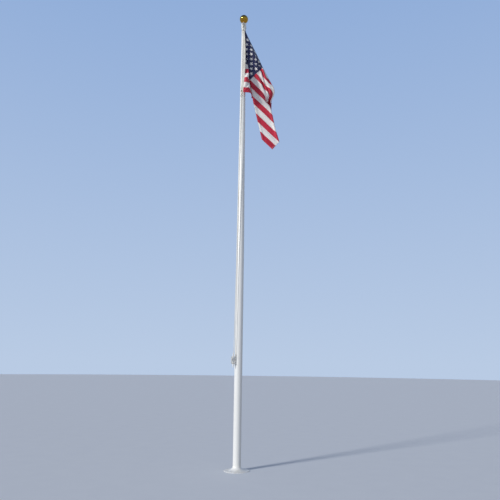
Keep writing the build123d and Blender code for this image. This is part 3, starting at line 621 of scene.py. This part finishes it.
def front_panel(distance, degrees_below):
    """Points of the front panel: its corner plus the flat point along its two directions, and shallow waves across
    its rays. Near the top corner the panel leaves its plane and runs into the heading."""
    angle = np.radians(degrees_below)[..., None]
    reach = distance[..., None]
    wave = np.sin(2 * np.pi * angle * reach / RIPPLE_WIDTH + RIPPLE_TWIST * reach) * np.clip(reach / RIPPLE_FULL, 0, 1)
    flat = PANEL_CORNER + reach * (np.cos(angle) * PANEL_FLY_WAY + np.sin(angle) * PANEL_HOIST_WAY)
    flat = flat + RIPPLE_DEPTH * wave * PANEL_BACK
    return flat + (TOP_CORNER - PANEL_CORNER) * np.exp(-(reach / CORNER_REACH) ** 2)


def hung_fold(distance, right, back, share, eased):
    """Points of a fold line behind: the top corner plus the distance along the leaning line, less what small folds
    take up; an eased one leans more the further down it is."""
    lean = np.sqrt(distance / FULL_LEAN_DISTANCE) if eased else np.ones_like(distance)
    return TOP_CORNER + unit(np.stack([right * lean, back * lean, -np.ones_like(lean)], -1)) * (
        distance * share)[..., None]


def laid_in_folds(fly, hoist):
    """The cloth laid over its main folds: each point goes between two fold lines in the share of its angle below the
    top edge. The front panel lies on its plane. A pleat's line drops as far as its distance from the corner allows.
    Also each point's layer, counted back from the panel, or -1 where it isn't kept apart, and its way to a fold."""
    distance = np.hypot(fly, hoist)
    below = np.degrees(np.arctan2(hoist, fly))
    left, right = read_off(LEFT_FOLD, distance), read_off(RIGHT_FOLD, distance)
    points = front_panel(distance, below)
    layer, inset = np.zeros(fly.shape, dtype=int), np.zeros(fly.shape)
    lines = [(fold[0], hung_fold(distance, *fold[1:])) for fold in REAR_FOLDS] + [(left, front_panel(distance, left))]
    for number, (first, start_line), (last, end_line) in zip(REAR_LAYERS, lines, lines[1:]):
        share = ((first - below) / (first - last))[..., None]
        between = (below <= first) & (below >= last)
        points = np.where(between[..., None], start_line * (1 - share) + end_line * share, points)
        layer[between] = number
        inset = np.where(between, np.minimum(first - below, below - last), inset)
    table = np.array(PLEATS)
    row = np.interp(distance, PLEAT_DISTANCES, np.arange(len(PLEATS)))
    lower = np.minimum(row.astype(int), len(PLEATS) - 2)
    part = (row - lower)[..., None, None]
    pleats = table[lower] * (1 - part) + table[lower + 1] * part
    pleats[..., 1:] *= np.clip(distance / PLEAT_DISTANCES[0], 0, 1)[..., None, None]
    edge = front_panel(distance, right) - TOP_CORNER
    pleats[..., 0, 1:] = edge[..., :2]
    share_left = below / right
    for fold in range(table.shape[1] - 1):
        first, last = pleats[..., fold, :], pleats[..., fold + 1, :]
        share = (first[..., 0] - share_left) / np.maximum(first[..., 0] - last[..., 0], 1e-6)
        aside = first[..., 1:] * (1 - share[..., None]) + last[..., 1:] * share[..., None]
        drop = -np.sqrt(np.maximum(distance ** 2 - (aside ** 2).sum(-1), 0))
        if fold == 0:
            drop = edge[..., 2] * (1 - share) + drop * share
        between = (share_left <= first[..., 0]) & (share_left >= last[..., 0])
        points = np.where(between[..., None], TOP_CORNER + np.concatenate([aside, drop[..., None]], -1), points)
        layer[between & (distance > NOTCH_DISTANCE)] = fold + 1
        inset = np.where(between, np.minimum(first[..., 0] - share_left, share_left - last[..., 0]) * right, inset)
    layer[distance < LAYERS_FROM] = -1
    return points, layer, np.radians(inset) * distance


def heading_edge(hoist):
    """The line that the cloth is sewn to: from its top corner to its foot, bowed as a parabola towards the fly."""
    down = hoist / HOIST
    return (TOP_CORNER + (FOOT_CORNER - TOP_CORNER) * down[:, None]
            + np.array([HEADING_BOW, 0, 0]) * (4 * down * (1 - down))[:, None])


def links(fly, hoist):
    """Pairs of slices of the grid whose points are a fixed distance apart in the cloth: threads, both diagonals, and
    pairs two and four apart that keep it from creasing too sharply. No point is in two pairs of one entry, so that
    whole slices can be moved at once."""
    rows, columns = fly.shape
    found = []
    for across, down, stiffness in TIES:
        step = across or down
        for first in range(2 * step):
            if across:
                near = (slice(first, rows - across, 2 * step), slice(max(-down, 0), columns - max(down, 0)))
                far = (slice(first + across, rows, 2 * step), slice(max(down, 0), columns - max(-down, 0)))
            else:
                near = (slice(None), slice(first, columns - down, 2 * step))
                far = (slice(None), slice(first + down, columns, 2 * step))
            length = np.hypot(fly[near] - fly[far], hoist[near] - hoist[far])
            found.append((near, far, length, stiffness, step > 1))
    return found


def deepest(along, down, depth, chosen):
    """For every point, how deep the chosen points reach at its place on the panel's plane: the largest depth in its
    cell of a flat map and in the eight cells round it."""
    column = np.clip((along / CELL).astype(int) + CELLS_LEFT, 1, MAP_CELLS - 2)
    row = np.clip((down / CELL).astype(int) + CELLS_ABOVE, 1, MAP_CELLS - 2)
    depths = np.full((MAP_CELLS, MAP_CELLS), NO_DEPTH)
    np.maximum.at(depths, (column[chosen], row[chosen]), depth[chosen])
    near = [depths[column + across, row + over] for across in (-1, 0, 1) for over in (-1, 0, 1)]
    return np.max(near, axis=0)


def keep_apart(points, layer, room):
    """Pushes each layer back until it lies behind the ones in front of it, with room between them."""
    away = points - PANEL_CORNER
    along, down, depth = away @ PANEL_FLY_WAY, away @ PANEL_HOIST_WAY, away @ PANEL_BACK
    for back in range(1, layer.max() + 1):
        front = deepest(along, down, depth, (layer >= 0) & (layer < back))
        push = np.where((layer == back) & (front > NO_DEPTH / 2), np.maximum(front + room - depth, 0), 0)
        push = np.minimum(push, LARGEST_PUSH)
        points += push[..., None] * PANEL_BACK
        depth = depth + push


def settle(points, layer, fold_way, fly, hoist):
    """Lets the cloth find its own small folds. At each step it drops a little, is drawn back towards its main folds,
    strongest in the front panel, the layers behind the panel are kept behind it and each other, and each link is
    brought to its length in turn, the long ones only where they are too short. The hoist stays on the heading."""
    laid = points.copy()
    distance = np.hypot(fly, hoist)
    below = np.degrees(np.arctan2(hoist, fly))
    left, right = read_off(LEFT_FOLD, distance), read_off(RIGHT_FOLD, distance)
    inset = np.radians(np.minimum(left - below, below - right)) * distance
    hold = HOLD_LOOSE + HOLD_ADDED * np.clip(inset / PANEL_MARGIN, 0, 1)
    hold = np.where(below < right, np.where(distance < NOTCH_DISTANCE, HOLD_WING, HOLD_PLEATS), hold)
    room = np.clip(ROOM_GROWTH * fold_way, 0, LAYER_ROOM)
    free = np.ones(fly.shape)
    free[0] = 0
    pairs = links(fly, hoist)
    for step in range(SETTLING_STEPS):
        points[1:, :, 2] -= SETTLING_DROP
        points += (laid - points) * (hold * (1 if step < LATE_STEPS_FROM * SETTLING_STEPS else LATE_HOLD))[..., None]
        points[0] = heading_edge(hoist[0])
        keep_apart(points, layer, room)
        for near, far, length, stiffness, only_short in pairs:
            apart = points[far] - points[near]
            now = np.sqrt((apart * apart).sum(-1)) + 1e-9
            pull = (now - length) / now / np.maximum(free[near] + free[far], 1e-9) * stiffness
            if only_short:
                pull = np.where(now < SHORTEST * length, pull, 0)
            points[near] += apart * (pull * free[near])[..., None]
            points[far] -= apart * (pull * free[far])[..., None]
    for _ in range(LAST_PUSHES):
        keep_apart(points, layer, room)
    return points


def finer(count, times):
    """Weights that take a row of count values to times as many between them, on cubic curves through them."""
    at = np.linspace(0, count - 1, int((count - 1) * times) + 1)
    first = np.clip(at.astype(int), 0, count - 2)
    part = at - first
    cubic = np.stack([-part + 2 * part ** 2 - part ** 3, 2 - 5 * part ** 2 + 3 * part ** 3,
                      part + 4 * part ** 2 - 3 * part ** 3, part ** 3 - part ** 2]) / 2
    weights = np.zeros((len(at), count))
    for offset in range(4):
        np.add.at(weights, (np.arange(len(at)), np.clip(first - 1 + offset, 0, count - 1)), cubic[offset])
    return weights


def grid_lines(times):
    """The flat columns and rows of the grid, with times as many cells. Each stripe and the canton end on a line."""
    canton, field, stripe = (int(cells * times) for cells in (CANTON_CELLS, FIELD_CELLS, STRIPE_CELLS))
    columns = np.concatenate([np.linspace(0.0, CANTON_FLY, canton + 1), np.linspace(CANTON_FLY, FLY, field + 1)[1:]])
    return columns, np.linspace(0.0, HOIST, STRIPES * stripe + 1)


def sewn_drape():
    """The settled cloth on the finer grid: its flat columns and rows, and its points."""
    columns, rows = grid_lines(1)
    fly, hoist = np.meshgrid(columns, rows, indexing="ij")
    settled = settle(*laid_in_folds(fly, hoist), fly, hoist)
    across, down = finer(len(columns), FINER), finer(len(rows), FINER)
    return *grid_lines(FINER), np.einsum("ai,ijk,bj->abk", across, settled, down)


COLUMNS, ROWS, DRAPE = sewn_drape()
SLOPE = unit(np.cross(np.gradient(DRAPE, axis=0), np.gradient(DRAPE, axis=1)))


def on_drape(fly, hoist, lift):
    """Points of the draped cloth for flat places, read between the four grid points round each, and moved out from
    the cloth by lift."""
    across = np.interp(fly, COLUMNS, np.arange(len(COLUMNS)))
    down = np.interp(hoist, ROWS, np.arange(len(ROWS)))
    column, row = np.minimum(across.astype(int), len(COLUMNS) - 2), np.minimum(down.astype(int), len(ROWS) - 2)
    right, lower = (across - column)[..., None], (down - row)[..., None]

    def read(grid):
        """The grid's values at those places."""
        upper = grid[column, row] * (1 - right) + grid[column + 1, row] * right
        under = grid[column, row + 1] * (1 - right) + grid[column + 1, row + 1] * right
        return upper * (1 - lower) + under * lower

    return read(DRAPE) + unit(read(SLOPE)) * lift


def flag_cloth():
    """The draped grid as one sheet of cloth, its faces coloured by stripe and canton."""
    fly, hoist = np.meshgrid(COLUMNS, ROWS, indexing="ij")
    faces = grid_faces(len(COLUMNS), len(ROWS))
    made = mesh_object("flag_sewn_cloth", DRAPE.reshape(-1, 3), faces)
    lay_uv(made, np.stack([fly.ravel(), hoist.ravel()], axis=1))
    middle = (fly.ravel()[faces].mean(axis=1), hoist.ravel()[faces].mean(axis=1))
    index = (middle[1] / STRIPE).astype(int) % 2
    index[(middle[0] < CANTON_FLY) & (middle[1] < CANTON_HOIST)] = 2
    for finish in (dyed_nylon("red_dyed_nylon", "D0213F", "B2152F", seams=True),
                   dyed_nylon("white_nylon", "F7F3EF", "E8E2DC", seams=True),
                   dyed_nylon("blue_dyed_nylon", "1B1E4E", "12143C")):
        made.data.materials.append(finish)
    made.data.polygons.foreach_set("material_index", index.astype(np.int32))
    wall = made.modifiers.new("cloth", "SOLIDIFY")
    wall.thickness = CLOTH
    wall.offset = 0.0
    return made


def star_outline():
    """The ten corners of a star with a tip up: tips on a circle, inner corners on a smaller one."""
    turn = np.arange(10) * np.pi / 5
    size = np.where(np.arange(10) % 2 == 0, STAR_RADIUS, STAR_INNER * STAR_RADIUS)
    return np.stack([size * np.sin(turn), -size * np.cos(turn)], axis=1)


def flag_stars():
    """Fifty sewn stars on each face of the canton, in nine rows of six and five: each is a fan of rings from its
    centre to the outline, laid on the drape and lifted from it along the cloth's own slope."""
    row, column = np.meshgrid(np.arange(1, 10), np.arange(1, 12), indexing="ij")
    taken = (row + column) % 2 == 0
    centre = np.stack([column[taken] * CANTON_FLY / 12, row[taken] * CANTON_HOIST / 10], axis=1)
    outline = star_outline()
    edge = (outline[:, None] + (np.roll(outline, -1, 0) - outline)[:, None] *
            np.linspace(0, 1, 4)[None, :-1, None]).reshape(-1, 2)
    ring = np.array([0.0, 0.25, 0.5, 0.75, 1.0])
    flat = centre[:, None, None, :] + edge[None, None] * ring[None, :, None, None]
    lift = CLOTH / 2 + STAR_LIFT + STAR_CROWN * np.sin(np.pi * np.clip(1.08 - ring, 0, 1) / 2)[None, :, None, None]
    faces = grid_faces(len(ring), len(edge), around=True)
    stars = len(centre)
    size = len(ring) * len(edge)
    every = repeated(faces, stars, size)
    points = np.concatenate([on_drape(flat[..., 0], flat[..., 1], side * lift).reshape(-1, 3) for side in (1, -1)])
    made = mesh_object("flag_sewn_stars", points, np.concatenate([every, every[:, ::-1] + stars * size]))
    lay_uv(made, np.concatenate([flat.reshape(-1, 2), flat.reshape(-1, 2)]))
    made.data.materials.append(dyed_nylon("white_embroidery", "F6F3EE", "E6E1DA"))
    return made


def stitch_rows(name, rows):
    """Stitches on rows of points: every other gap between neighbours is bridged by a thread that rises from the cloth
    and goes back in. Each row is its points and the directions that face out of the cloth there. The arch has, for
    each ring, the share of the way along the stitch, the rise and the thickness, in thread radii."""
    arch = np.array([(0.0, -0.3, 0.35), (0.18, 0.55, 1.0), (0.5, 0.8, 1.0), (0.82, 0.55, 1.0), (1.0, -0.3, 0.35)])
    turn = np.linspace(0, 2 * np.pi, 5, endpoint=False)[None, None, :, None]
    found = []
    for line, out in rows:
        first, last, out = line[0:-1:2, None], line[1::2, None], out[0:-1:2, None]
        middle = first + (last - first) * arch[None, :, :1] + out * (arch[:, 1] * THREAD_RADIUS)[None, :, None]
        side = np.cross(out, unit(last - first))
        thick = (arch[:, 2] * THREAD_RADIUS)[None, :, None, None]
        found.append(middle[:, :, None] + thick * (np.cos(turn) * out[:, :, None] + np.sin(turn) * side[:, :, None]))
    points = np.concatenate(found)
    size = points.shape[1] * points.shape[2]
    faces = grid_faces(points.shape[1], points.shape[2], around=True)
    made = mesh_object(name, points.reshape(-1, 3), repeated(faces, len(points), size))
    made.data.materials.append(THREAD)
    return made


def heading_stitches():
    """Rows of lock stitch on both faces of the canvas: two that hold the cloth, and one beside the folded edge."""
    top = leg_top(1)
    hang = unit(on_cleat(LEG_FOOT, -LEG_TURN, LEG_OUT) - top)
    fly_way = unit(np.array([1.0, 0.0, 0.0]) - hang * hang[0])
    ahead = np.cross(hang, fly_way)
    corner = top + hang * ((TOP_CORNER[2] - top[2]) / hang[2]) - fly_way * HEADING_INSET + ahead * HEADING_AHEAD
    down = np.linspace(0.002, HOIST - 0.002, ROW_POINTS)[:, None]
    bow_radius = (HOIST ** 2 / 4 + HEADING_BOW ** 2) / (2 * HEADING_BOW)
    bow = np.sqrt(bow_radius ** 2 - (down - HOIST / 2) ** 2) - bow_radius + HEADING_BOW
    rows = []
    for face in (1, -1):
        for across in HEADING_ROWS:
            line = corner + hang * down + fly_way * (bow + across) + ahead * face * HEADING_HALF
            rows.append((line, np.broadcast_to(ahead * face, line.shape)))
    return stitch_rows("heading_stitches", rows)


def hem_stitches():
    """Rows of lock stitch on both faces of the fly's hem."""
    down = np.linspace(0.003, HOIST - 0.003, ROW_POINTS)
    rows = []
    for face in (1, -1):
        for inset in FLY_ROWS:
            fly = np.full(len(down), FLY - inset)
            line = on_drape(fly, down, face * CLOTH / 2)
            rows.append((line, unit(on_drape(fly, down, face * 0.01) - line)))
    return stitch_rows("fly_hem_stitches", rows)


THREAD = sewing_thread()
cloth = flag_cloth()
stars = flag_stars()
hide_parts("flag_cloth")
hem_stitches()
heading_stitches()


# ---- Floor, light and camera ----

def plain_floor():
    """A pale grey disc 120 m across, made of rings of points from its centre out."""
    turn = np.linspace(0, 2 * np.pi, 96, endpoint=False)
    reach = np.array([0.001, 1.0, 4.0, 12.0, 60.0])
    points = np.stack([reach[:, None] * np.cos(turn), reach[:, None] * np.sin(turn),
                       np.zeros((len(reach), len(turn)))], axis=-1).reshape(-1, 3)
    made = mesh_object("floor", points, grid_faces(len(reach), len(turn), around=True))
    finish, tree, shader, place = start("pale_floor", Roughness=0.9)
    grain = noise(tree, place["Object"], 3.0, 3.0)
    tree.links.new(blend_colour(tree, grain, "E4E7EB", "DFE2E7"), shader.inputs["Base Color"])
    made.data.materials.append(finish)


def studio_light():
    """One broad lamp from the left in front, and a pale world, deeper overhead, that the camera and the metal see
    while the cloth is lit by a dimmer one."""
    lamp = bpy.data.lights.new("key", "SUN")
    lamp.energy = KEY_STRENGTH
    lamp.angle = radians(KEY_ACROSS)
    lamp.color = (1.0, 0.985, 0.96)
    key = bpy.data.objects.new("key", lamp)
    key.rotation_euler = (radians(90 - KEY_UP), 0.0, radians(-KEY_LEFT))
    bpy.context.scene.collection.objects.link(key)
    world = bpy.data.worlds.new("pale")
    world.use_nodes = True
    tree = world.node_tree
    shader = tree.nodes["Background"]
    ray = add(tree, "ShaderNodeLightPath").outputs
    seen = maths(tree, "MAXIMUM", maths(tree, "MAXIMUM", ray["Is Camera Ray"], ray["Is Glossy Ray"]),
                 ray["Is Transmission Ray"])
    height = add(tree, "ShaderNodeSeparateXYZ", {0: add(tree, "ShaderNodeTexCoord").outputs["Generated"]}).outputs[2]
    fill = blend_colour(tree, ramp(tree, height, -0.15, 0.75, 0.0, 1.0), "D9D8D6", "93A6C6")
    backdrop = blend_colour(tree, ramp(tree, height, 0.0, 0.65, 0.0, 1.0), "B9CBE4", "8DABD8")
    backdrop = blend_colour(tree, ramp(tree, height, 0.65, 1.0, 0.0, 1.0), backdrop, "3C5688")
    tree.links.new(blend_colour(tree, seen, fill, backdrop), shader.inputs["Color"])
    tree.links.new(ramp(tree, seen, 0.0, 1.0, FILL_STRENGTH, 1.0), shader.inputs["Strength"])
    bpy.context.scene.world = world


def view_from_lawn():
    """A camera at eye height 8.8 m in front."""
    lens = bpy.data.cameras.new("eye")
    lens.sensor_width = 36.0
    lens.lens = EYE_LENS
    lens.clip_end = 400.0
    eye = bpy.data.objects.new("eye", lens)
    turn = (Matrix.Rotation(radians(-LOOK_RIGHT), 4, "Z") @ Matrix.Rotation(radians(90 + LOOK_UP), 4, "X")
            @ Matrix.Rotation(radians(ROLLED), 4, "Z"))
    eye.matrix_world = Matrix.Translation(EYE) @ turn
    bpy.context.scene.collection.objects.link(eye)
    bpy.context.scene.camera = eye


plain_floor()
studio_light()
view_from_lawn()
bpy.context.scene.view_settings.view_transform = "Standard"
